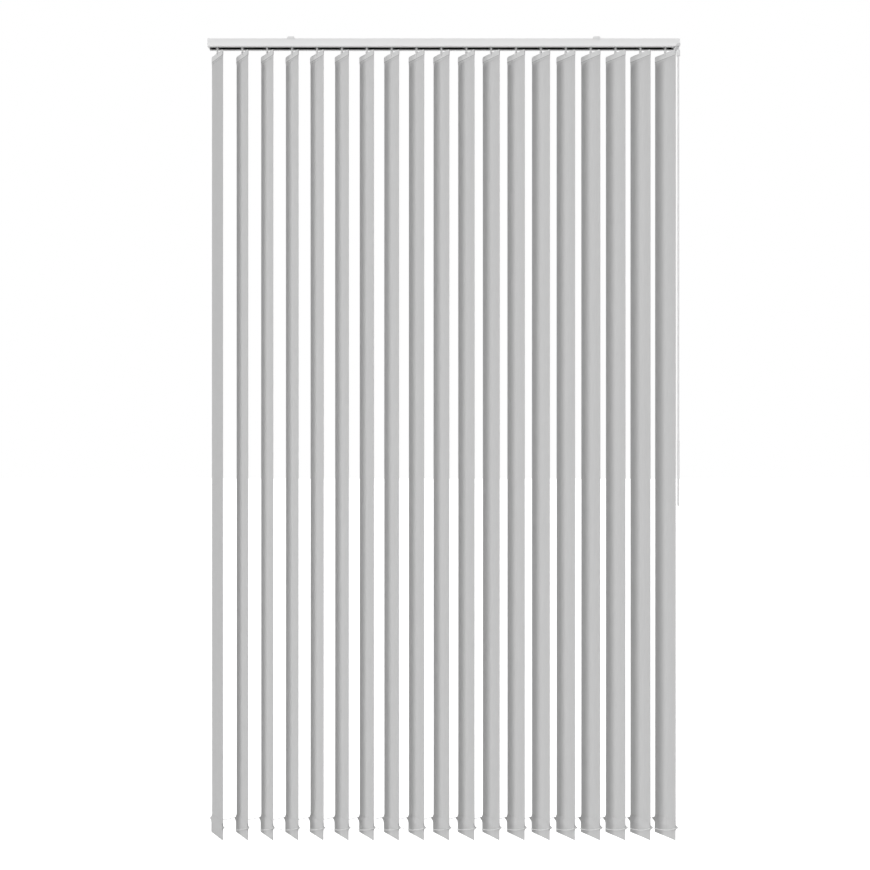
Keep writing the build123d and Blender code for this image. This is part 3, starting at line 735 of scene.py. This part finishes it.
class BLIND_OT_hardware(bpy.types.Operator):
    """Give the rail, caps, clips, carriers, rod, gears and wand their finishes"""

    bl_idname = "blind.hardware"
    bl_label = "Rail and hardware"

    def execute(self, context):
        worn = {
            "rail": ["headrail"],
            "cap": ["end_cap_left", "end_cap_right"],
            "clip": ["ceiling_clip_left", "ceiling_clip_right"],
            "rod": ["tilt_rod"],
            "dark": CARRIER_NAMES
            + ["rod_bush_left", "rod_bush_right"]
            + ["rod_gear", "drop_shaft", "cross_shaft", "wand_spindle"],
            "grey": ["wand_truck"],
            "white": ["wand_connector", "wand_rod", "wand_tip"],
        }
        for finish, names in worn.items():
            for name in names:
                dress(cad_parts[name], FINISHES[finish])
        return {"FINISHED"}


# ---------------------------------------------------------------- louvres


class BLIND_OT_louvre_cloth(bpy.types.Operator):
    """Fold, weld and hang the fabric louvres"""

    bl_idname = "blind.louvre_cloth"
    bl_label = "Louvre fabric"

    def execute(self, context):
        sizes = context.scene.blind_sizes
        clear_selection()
        band_bottom = LOUVRE_TOP - sizes.band_height
        # the strip starts as the flap of the hanger pocket, in front of the louvre
        bpy.ops.mesh.primitive_plane_add(size=1, location=(0, 0, 0), rotation=(math.pi / 2, 0, 0))
        cloth = new_piece("louvre_cloth_master")
        cloth.scale = (2 * HALF_WIDTH, 0.006, 1)
        settle(cloth)
        bpy.ops.object.mode_set(mode="EDIT")
        bpy.ops.mesh.select_all(action="SELECT")
        bpy.ops.transform.translate(value=(0, -0.00055, band_bottom - 0.004))
        bpy.ops.object.mode_set(mode="OBJECT")
        top_edge = max(vertex.co.z for vertex in cloth.data.vertices)
        choose(cloth, "EDGE", lambda a, b: min(a.z, b.z) > top_edge - 0.0001)
        # each step is (towards the back, upwards, width factor)
        run = (LOUVRE_TOP - SEAM_HEIGHT - 0.0010) - (LOUVRE_BOTTOM + POCKET_HEIGHT)
        steps = [
            (-0.00050, band_bottom + 0.0006 - top_edge, 1.0),
            (0.0, sizes.band_height - 0.0036, 1.0),
            (0.0, 0.0016, 41.6 / 44.5),
            (0.00045, 0.0009, 1.0),
            (0.00060, 0.0004, 1.0),
            (0.00060, -0.0004, 1.0),
            (0.00045, -0.0009, 1.0),
            (0.0, -0.0016, 44.5 / 41.6),
            (0.0, -(sizes.band_height - 0.0036), 1.0),
            (-0.00080, -0.0010, 1.0),
            (0.0, -0.0070, 1.0),
        ]
        steps += [(0.0, -run / 26, 1.0)] * 26
        steps += [
            (0.0, -0.0020, 1.0),
            (0.0, -0.0510, 1.0),
            (-0.0004, -0.0012, 1.0),
            (-0.0012, -0.0005, 1.0),
            (-0.0012, 0.0005, 1.0),
            (-0.0003, 0.0012, 1.0),
            (0.0, 0.0490, 1.0),
            (0.0026, 0.0040, 1.0),
            (0.0, 0.0020, 1.0),
        ]
        for back, up, width in steps:
            pull_edges((0, back, up))
            if width != 1.0:
                bpy.ops.transform.resize(value=(width, 1, 1))
        # lines along the length let the strip cup a little
        for share in (-0.5, 0.0, 0.5):
            bpy.ops.mesh.select_all(action="SELECT")
            bpy.ops.mesh.bisect(plane_co=(share * 2 * HALF_WIDTH, 0, 0), plane_no=(1, 0, 0))
        bpy.ops.object.mode_set(mode="OBJECT")
        lowest = min(vertex.co.z for vertex in cloth.data.vertices)
        bpy.ops.object.mode_set(mode="EDIT")
        choose(cloth, "VERT", lambda place: place.z < LOUVRE_TOP - 0.1)
        rise = LOUVRE_BOTTOM + sizes.cloth_thickness / 2 - lowest
        bpy.ops.transform.translate(value=(0, 0, rise))
        bpy.ops.object.mode_set(mode="OBJECT")
        # below the hooks, the pocket's sides close round the weight
        for across in (-0.0428, 0.0428):
            bpy.ops.object.mode_set(mode="EDIT")
            bpy.ops.mesh.select_all(action="SELECT")
            bpy.ops.mesh.bisect(plane_co=(across, 0, 0), plane_no=(1, 0, 0))
            bpy.ops.object.mode_set(mode="OBJECT")
        for height in (LUG_Z - 0.0095, LUG_Z - 0.0125):
            choose(cloth, "FACE", lambda centre, normal: centre.z < LOUVRE_BOTTOM + POCKET_HEIGHT)
            slice_at(height)
            bpy.ops.object.mode_set(mode="OBJECT")
        for vertex in cloth.data.vertices:
            if abs(vertex.co.x) > HALF_WIDTH - 0.0005 and vertex.co.z < LUG_Z - 0.0110:
                vertex.co.y = -WEIGHT_FACE + 0.22 * (vertex.co.y + WEIGHT_FACE)
        # between its pockets the strip is slightly cupped
        for vertex in cloth.data.vertices:
            if LOUVRE_BOTTOM + 0.12 < vertex.co.z < LOUVRE_TOP - 0.15:
                vertex.co.y += 0.0006 * (1 - (vertex.co.x / HALF_WIDTH) ** 2)
        wall = cloth.modifiers.new("Cloth thickness", "SOLIDIFY")
        wall.thickness = sizes.cloth_thickness
        wall.offset = 0
        apply_modifiers(cloth)
        face_out(cloth)
        drill(cloth, (0, 0, EYE_Z), CLOTH_EYE_RADIUS, 32)
        smooth(cloth, 40)

        def vary(copy, index):
            dice = random.Random(100 + index)
            bow = dice.uniform(-0.0004, 0.0004)
            # painted light: every louvre but the first gets a paler share, standing in for the
            # light bounced from its neighbour
            tone = 0.0 if index == 0 else dice.uniform(0.75, 0.95)
            painted_bounce = copy.data.attributes.new("painted_bounce", "FLOAT", "POINT")
            painted_bounce.data.foreach_set("value", [tone] * len(copy.data.vertices))
            span = LOUVRE_TOP - LOUVRE_BOTTOM
            for vertex in copy.data.vertices:
                share = (LOUVRE_TOP - vertex.co.z) / span
                vertex.co.y += bow * math.sin(math.pi * min(1, max(0, share)))

        made = hang_copies(cloth, "cloth", FINISHES["cloth"], vary)
        for louvre, piece in zip(LOUVRE_NAMES, made):
            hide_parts(louvre)
        return {"FINISHED"}


class BLIND_OT_hangers(bpy.types.Operator):
    """Make the hanger plate in each louvre's top pocket"""

    bl_idname = "blind.hangers"
    bl_label = "Hanger plates"

    def execute(self, context):
        clear_selection()
        top = LOUVRE_TOP - 0.0008
        bpy.ops.mesh.primitive_cube_add(size=1, location=(0, 0, top - 0.0067))
        plate = new_piece("hanger_master")
        plate.scale = (0.085, 0.0009, 0.0134)
        settle(plate)
        choose(
            plate,
            "EDGE",
            lambda a, b: abs(a.y - b.y) > 0.0005 and min(a.z, b.z) > top - 0.001,
        )
        bpy.ops.mesh.bevel(offset=0.004, segments=4, affect="EDGES")
        bpy.ops.object.mode_set(mode="OBJECT")
        drill(plate, (0, 0, EYE_Z), EYE_RADIUS, 28)
        soften(plate, 0.00015)
        hang_copies(plate, "hanger", FINISHES["white"])
        return {"FINISHED"}


class BLIND_OT_stems(bpy.types.Operator):
    """Turn the stems: worm wheel, collar, round shank and the fork that holds a louvre"""

    bl_idname = "blind.stems"
    bl_label = "Stems"

    def execute(self, context):
        clear_selection()
        bpy.ops.mesh.primitive_cylinder_add(
            vertices=32, radius=STEM_RADIUS, depth=0.0166, location=(0, 0, -0.0327)
        )
        shank = new_piece("stem_master")
        choose(shank, "FACE", lambda centre, normal: normal.z > 0.9)
        grow = COLLAR_RADIUS / STEM_RADIUS
        pull_faces((0, 0, 0))
        bpy.ops.transform.resize(value=(grow, grow, 1))
        pull_faces((0, 0, COLLAR_HEIGHT))
        bpy.ops.mesh.inset(thickness=0.0010)
        pull_faces((0, 0, WHEEL_HEIGHT))
        bpy.ops.object.mode_set(mode="OBJECT")
        settle(shank)
        clear_selection()
        # one tooth of the worm wheel, and then a ring of them
        tooth_z = STEM_COLLAR_Z + COLLAR_HEIGHT + WHEEL_HEIGHT / 2
        bpy.ops.mesh.primitive_cube_add(size=1, location=(0.0040, 0, tooth_z))
        tooth = new_piece("stem_tooth")
        tooth.scale = (0.0012, 0.0012, WHEEL_HEIGHT)
        settle(tooth)
        choose(tooth, "FACE", lambda centre, normal: normal.x > 0.9)
        bpy.ops.transform.resize(value=(1, 0.6, 1))
        bpy.ops.object.mode_set(mode="OBJECT")
        teeth = [tooth]
        for index in range(1, WHEEL_TEETH):
            pick(tooth)
            bpy.ops.object.duplicate()
            copy = bpy.context.object
            copy.rotation_euler = (0, 0, index * 2 * math.pi / WHEEL_TEETH)
            settle(copy)
            teeth.append(copy)
        clear_selection()
        bpy.ops.mesh.primitive_cube_add(size=1, location=(0, 0, -0.0473))
        fork = new_piece("stem_fork")
        fork.scale = (0.0070, 0.0050, 0.0130)
        settle(fork)
        choose(
            fork,
            "EDGE",
            lambda a, b: abs(a.y - b.y) > 0.003 and max(a.z, b.z) < -0.048,
        )
        bpy.ops.mesh.bevel(offset=0.0016, segments=3, affect="EDGES")
        bpy.ops.object.mode_set(mode="OBJECT")
        clear_selection()
        bpy.ops.mesh.primitive_cube_add(size=1, location=(0, 0, -0.0488))
        notch = bpy.context.object
        notch.scale = (0.02, 0.0030, 0.0100)
        settle(notch)
        cut_with(fork, notch)
        clear_selection()
        bpy.ops.mesh.primitive_cylinder_add(
            vertices=20,
            radius=0.0016,
            depth=0.0034,
            location=(0, 0, PEG_Z),
            rotation=(math.pi / 2, 0, 0),
        )
        peg = new_piece("stem_peg")
        settle(peg)
        choose(peg, "FACE", lambda centre, normal: abs(normal.y) > 0.9)
        bpy.ops.mesh.inset(thickness=0.0003)
        bpy.ops.object.mode_set(mode="OBJECT")
        join(shank, [fork, peg] + teeth)
        soften(shank, 0.0002)
        hang_copies(shank, "stem", FINISHES["white"])
        return {"FINISHED"}


class BLIND_OT_weights(bpy.types.Operator):
    """Make the flat weight in each bottom pocket, with its two chain hooks"""

    bl_idname = "blind.weights"
    bl_label = "Weights"

    def execute(self, context):
        clear_selection()
        bottom = LOUVRE_BOTTOM + 0.0012
        bpy.ops.mesh.primitive_cube_add(size=1, location=(0, -WEIGHT_FACE, bottom + 0.0239))
        plate = new_piece("weight_master")
        plate.scale = (0.084, 0.0019, 0.0478)
        settle(plate)
        for height in (LUG_TOP, LUG_FOOT):
            bpy.ops.object.mode_set(mode="EDIT")
            bpy.ops.mesh.select_all(action="SELECT")
            slice_at(height)
            bpy.ops.object.mode_set(mode="OBJECT")
        for side in (-1, 1):
            choose(
                plate,
                "FACE",
                lambda centre, normal: normal.x * side > 0.9 and LUG_FOOT < centre.z < LUG_TOP,
            )
            pull_faces((side * 0.0028, 0, 0))
            pull_faces((side * 0.0105, 0, 0.0010))
            bpy.ops.transform.resize(value=(1, 0.95, 0.22))
            pull_faces((side * 0.0008, 0, 0))
            bpy.ops.transform.resize(value=(1, 0.8, 0.6))
            bpy.ops.object.mode_set(mode="OBJECT")
        for side in (-1, 1):
            drill(plate, (side * LUG_EYE_REACH, -WEIGHT_FACE, LUG_Z), LUG_EYE_RADIUS, 20)
        soften(plate, 0.0003)
        hang_copies(plate, "weight", FINISHES["hook"])
        return {"FINISHED"}


class BLIND_OT_sleeve(bpy.types.Operator):
    """Fold the flexible sleeve between the wand and its drive"""

    bl_idname = "blind.sleeve"
    bl_label = "Wand sleeve"

    def execute(self, context):
        low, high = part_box("wand_coupling")
        middle = (low + high) / 2
        folds = 4
        step = (high.z - low.z) / (2 * folds)
        clear_selection()
        bpy.ops.mesh.primitive_cylinder_add(
            vertices=32, radius=(high.x - low.x) / 2, depth=high.z - low.z, location=middle
        )
        sleeve = new_piece("wand_sleeve")
        settle(sleeve)
        choose(sleeve, "FACE", lambda centre, normal: abs(normal.z) > 0.9)
        bpy.ops.mesh.delete(type="ONLY_FACE")
        for index in range(1, 2 * folds):
            bpy.ops.mesh.select_all(action="SELECT")
            slice_at(low.z + index * step)
        bpy.ops.object.mode_set(mode="OBJECT")
        for index in range(0, 2 * folds + 1, 2):
            ring = low.z + index * step
            choose(sleeve, "VERT", lambda place: abs(place.z - ring) < NEAR)
            widen(0.82, (middle.x, middle.y, ring))
            bpy.ops.object.mode_set(mode="OBJECT")
        for end, inward in ((low.z, 1), (high.z, -1)):
            choose(sleeve, "EDGE", lambda a, b: max(abs(a.z - end), abs(b.z - end)) < NEAR)
            pull_edges((0, 0, 0))
            widen(0.66, (middle.x, middle.y, end))
            pull_edges((0, 0, inward * 0.0015))
            bpy.ops.mesh.edge_face_add()
            bpy.ops.object.mode_set(mode="OBJECT")
        face_out(sleeve)
        smooth(sleeve, 50)
        dress(sleeve, FINISHES["rubber"])
        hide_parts("wand_coupling")
        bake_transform(sleeve)
        return {"FINISHED"}


class BLIND_OT_grip(bpy.types.Operator):
    """Turn the wand's grip, with rings of fine ribs at both ends"""

    bl_idname = "blind.grip"
    bl_label = "Wand grip"

    def execute(self, context):
        ribs = context.scene.blind_sizes.grip_ribs
        low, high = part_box("wand_grip")
        middle = (low + high) / 2
        radius = (high.x - low.x) / 2
        ribbed = ribs * RIB_PITCH
        first_rib = low.z + GRIP_CAP
        clear_selection()
        bpy.ops.mesh.primitive_cylinder_add(
            vertices=40,
            radius=radius,
            depth=RIB_PITCH,
            location=(middle.x, middle.y, first_rib + RIB_PITCH / 2),
        )
        rib = new_piece("wand_grip_ribbed")
        settle(rib)
        choose(rib, "FACE", lambda centre, normal: abs(normal.z) > 0.9)
        bpy.ops.mesh.delete(type="ONLY_FACE")
        for share in (0.3, 0.5, 0.7):
            bpy.ops.mesh.select_all(action="SELECT")
            slice_at(first_rib + share * RIB_PITCH)
        bpy.ops.object.mode_set(mode="OBJECT")
        for share, shrink in ((0.0, 0.90), (1.0, 0.90), (0.3, 0.98), (0.7, 0.98)):
            ring = first_rib + share * RIB_PITCH
            choose(rib, "VERT", lambda place: abs(place.z - ring) < NEAR)
            widen(shrink, (middle.x, middle.y, ring))
            bpy.ops.object.mode_set(mode="OBJECT")
        repeat(rib, "Ribs", ribs, (0, 0, RIB_PITCH), weld=True)
        # the plain waist between the two ribbed ends, then the second end and the closed tips
        first_top = first_rib + ribbed
        choose(rib, "EDGE", lambda a, b: min(a.z, b.z) > first_top - NEAR)
        waist = high.z - low.z - 2 * (GRIP_CAP + ribbed) - 0.003
        for rise, grow in ((0.0015, 1.06), (waist, 1.0), (0.0015, 1 / 1.06)):
            pull_edges((0, 0, rise))
            if grow != 1.0:
                widen(grow, (middle.x, middle.y, 0))
        bpy.ops.object.mode_set(mode="OBJECT")
        top_now = high.z - GRIP_CAP - ribbed
        one_rib = ((0.3, 0.98 / 0.90), (0.2, 1 / 0.98), (0.2, 0.98), (0.3, 0.90 / 0.98))
        for index in range(ribs):
            base = top_now + index * RIB_PITCH
            choose(rib, "EDGE", lambda a, b: min(a.z, b.z) > base - NEAR)
            for share, grow in one_rib:
                pull_edges((0, 0, share * RIB_PITCH))
                widen(grow, (middle.x, middle.y, 0))
            bpy.ops.object.mode_set(mode="OBJECT")
        for end, step in ((first_rib, -1), (high.z - GRIP_CAP, 1)):
            choose(rib, "EDGE", lambda a, b: max(abs(a.z - end), abs(b.z - end)) < NEAR)
            for rise, grow in ((0.0008, 1.08), (0.0024, 1.0), (0.0008, 0.8)):
                pull_edges((0, 0, step * rise))
                if grow != 1.0:
                    widen(grow, (middle.x, middle.y, 0))
            bpy.ops.mesh.edge_face_add()
            bpy.ops.object.mode_set(mode="OBJECT")
        face_out(rib)
        smooth(rib, 50)
        dress(rib, FINISHES["white"])
        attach(rib, "wand_body")
        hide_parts("wand_grip")
        return {"FINISHED"}


class BLIND_OT_chains(bpy.types.Operator):
    """String the bead chains through the hooks at the louvres' feet"""

    bl_idname = "blind.chains"
    bl_label = "Bottom chains"

    def execute(self, context):
        sizes = context.scene.blind_sizes
        for side, name in ((1, "front_chain"), (-1, "rear_chain")):
            ring = Vector((FIRST_X, 0, LUG_Z)) + ACROSS * side * RING_REACH + FACE * WEIGHT_FACE
            span = PITCH - 2 * CHAIN_GAP
            step = span / sizes.bead_count
            clear_selection()
            bpy.ops.mesh.primitive_uv_sphere_add(
                segments=8, ring_count=5, radius=sizes.bead_radius, location=(step / 2, 0, 0)
            )
            bead = new_piece(f"{name}_beads")
            settle(bead)
            clear_selection()
            bpy.ops.mesh.primitive_cylinder_add(
                vertices=6,
                radius=WIRE_RADIUS,
                depth=step,
                end_fill_type="NOTHING",
                location=(step / 2, 0, 0),
                rotation=(0, math.pi / 2, 0),
            )
            wire = new_piece(f"{name}_wire")
            settle(wire)
            join(bead, [wire])
            repeat(bead, "Beads of a span", sizes.bead_count, (step, 0, 0))
            for vertex in bead.data.vertices:
                share = min(1, max(0, vertex.co.x / span))
                vertex.co.z -= 4 * sizes.chain_sag * share * (1 - share)
                vertex.co.x += CHAIN_GAP
            clear_selection()
            bpy.ops.mesh.primitive_torus_add(
                major_radius=0.0025,
                minor_radius=0.00055,
                major_segments=20,
                minor_segments=8,
                location=(0, 0, 0),
            )
            loop = new_piece(f"{name}_ring")
            settle(loop)
            pick(loop)
            bpy.ops.object.duplicate()
            last = bpy.context.object
            last.location = (PITCH * (COUNT - 1), 0, 0)
            settle(last)
            join(bead, [loop])
            repeat(bead, "Spans", COUNT - 1, (PITCH, 0, 0))
            join(bead, [last])
            bead.location = ring
            settle(bead)
            smooth(bead, 60)
            dress(bead, FINISHES["chain"])
            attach(bead, f"{name}_body")
            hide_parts(name)
            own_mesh(bead)
        return {"FINISHED"}


# ---------------------------------------------------------------- stage


class BLIND_OT_stage(bpy.types.Operator):
    """Set up the floor, the light and the camera"""

    bl_idname = "blind.stage"
    bl_label = "Stage"

    def execute(self, context):
        clear_selection()
        floor_z = LOUVRE_BOTTOM - 0.075
        bpy.ops.mesh.primitive_plane_add(size=1, location=(0, 0, floor_z))
        floor = new_piece("floor")
        floor.scale = (60, 60, 1)
        settle(floor)
        ground = bpy.data.materials.new("Pale floor")
        ground.use_nodes = True
        shader = ground.node_tree.nodes["Principled BSDF"]
        shader.inputs["Base Color"].default_value = (0.6, 0.6, 0.6, 1)
        shader.inputs["Roughness"].default_value = 0.9
        shader.inputs["Emission Color"].default_value = (1, 1, 1, 1)
        # the floor looks white to the camera, and lights the blind only a little
        seen_by = ground.node_tree.nodes.new("ShaderNodeLightPath")
        glow = ground.node_tree.nodes.new("ShaderNodeMath")
        glow.operation = "MULTIPLY_ADD"
        glow.inputs[1].default_value = 0.8
        glow.inputs[2].default_value = 0.05
        ground.node_tree.links.new(seen_by.outputs["Is Camera Ray"], glow.inputs[0])
        ground.node_tree.links.new(glow.outputs[0], shader.inputs["Emission Strength"])
        dress(floor, ground)

        world = bpy.data.worlds.new("Soft studio")
        context.scene.world = world
        world.use_nodes = True
        nodes, link = world.node_tree.nodes, world.node_tree.links.new
        nodes.clear()
        out = nodes.new("ShaderNodeOutputWorld")
        seen = nodes.new("ShaderNodeBackground")
        seen.inputs["Color"].default_value = (1, 1, 1, 1)
        seen.inputs["Strength"].default_value = 1.0
        fill = nodes.new("ShaderNodeBackground")
        fill.inputs["Color"].default_value = (1, 1, 1, 1)
        bearing = nodes.new("ShaderNodeTexCoord")
        behind = nodes.new("ShaderNodeVectorMath")
        behind.operation = "DOT_PRODUCT"
        behind.inputs[1].default_value = tuple(-FACE)
        side = nodes.new("ShaderNodeMapRange")
        side.inputs["From Min"].default_value = -1.0
        side.inputs["From Max"].default_value = 1.0
        side.inputs["To Min"].default_value = 0.0
        side.inputs["To Max"].default_value = 1.48
        link(bearing.outputs["Generated"], behind.inputs[0])
        link(behind.outputs["Value"], side.inputs["Value"])
        link(side.outputs[0], fill.inputs["Strength"])
        path = nodes.new("ShaderNodeLightPath")
        mix = nodes.new("ShaderNodeMixShader")
        link(path.outputs["Is Camera Ray"], mix.inputs[0])
        link(fill.outputs[0], mix.inputs[1])
        link(seen.outputs[0], mix.inputs[2])
        link(mix.outputs[0], out.inputs["Surface"])

        turn, rise = math.radians(43), math.radians(17)
        level = math.cos(rise)
        source = Vector((-math.sin(turn) * level, -math.cos(turn) * level, math.sin(rise)))
        clear_selection()
        bpy.ops.object.light_add(type="SUN", location=source * 4)
        key = bpy.context.object
        key.name = "key_light"
        key.data.energy = 1.45
        key.data.angle = math.radians(27)
        key.rotation_euler = (-source).to_track_quat("-Z", "Y").to_euler()

        clear_selection()
        bpy.ops.object.camera_add(
            location=(-0.02775, -3.445, -1.2644), rotation=(math.pi / 2, 0, 0)
        )
        camera = bpy.context.object
        camera.name = "camera"
        camera.data.lens = 44.64
        camera.data.sensor_width = 36
        context.scene.camera = camera
        context.scene.view_settings.view_transform = "Standard"
        return {"FINISHED"}


# ---------------------------------------------------------------- panel and run


STEPS = (
    "finishes",
    "hardware",
    "hangers",
    "stems",
    "weights",
    "louvre_cloth",
    "sleeve",
    "grip",
    "chains",
    "stage",
)


class BLIND_PT_panel(bpy.types.Panel):
    """Lists the blind's settings and steps"""

    bl_idname = "BLIND_PT_panel"
    bl_label = "Vertical Blind"
    bl_space_type = "VIEW_3D"
    bl_region_type = "UI"
    bl_category = "Blind"

    def draw(self, context):
        for settings in (context.scene.blind_sizes, context.scene.blind_colours):
            box = self.layout.box()
            for name in settings.bl_rna.properties.keys():
                if name not in ("rna_type", "name"):
                    box.prop(settings, name)
        for step in STEPS:
            self.layout.operator(f"blind.{step}")


CLASSES = (
    BlindSizes,
    BlindColours,
    BLIND_OT_finishes,
    BLIND_OT_hardware,
    BLIND_OT_hangers,
    BLIND_OT_stems,
    BLIND_OT_weights,
    BLIND_OT_louvre_cloth,
    BLIND_OT_sleeve,
    BLIND_OT_grip,
    BLIND_OT_chains,
    BLIND_OT_stage,
    BLIND_PT_panel,
)


def register():
    for item in CLASSES:
        bpy.utils.register_class(item)
    bpy.types.Scene.blind_sizes = bpy.props.PointerProperty(type=BlindSizes)
    bpy.types.Scene.blind_colours = bpy.props.PointerProperty(type=BlindColours)


def unregister():
    del bpy.types.Scene.blind_sizes
    del bpy.types.Scene.blind_colours
    for item in reversed(CLASSES):
        bpy.utils.unregister_class(item)


def main():
    """Build everything in order."""
    register()
    for step in STEPS:
        getattr(bpy.ops.blind, step)()


if __name__ == "__main__":
    main()
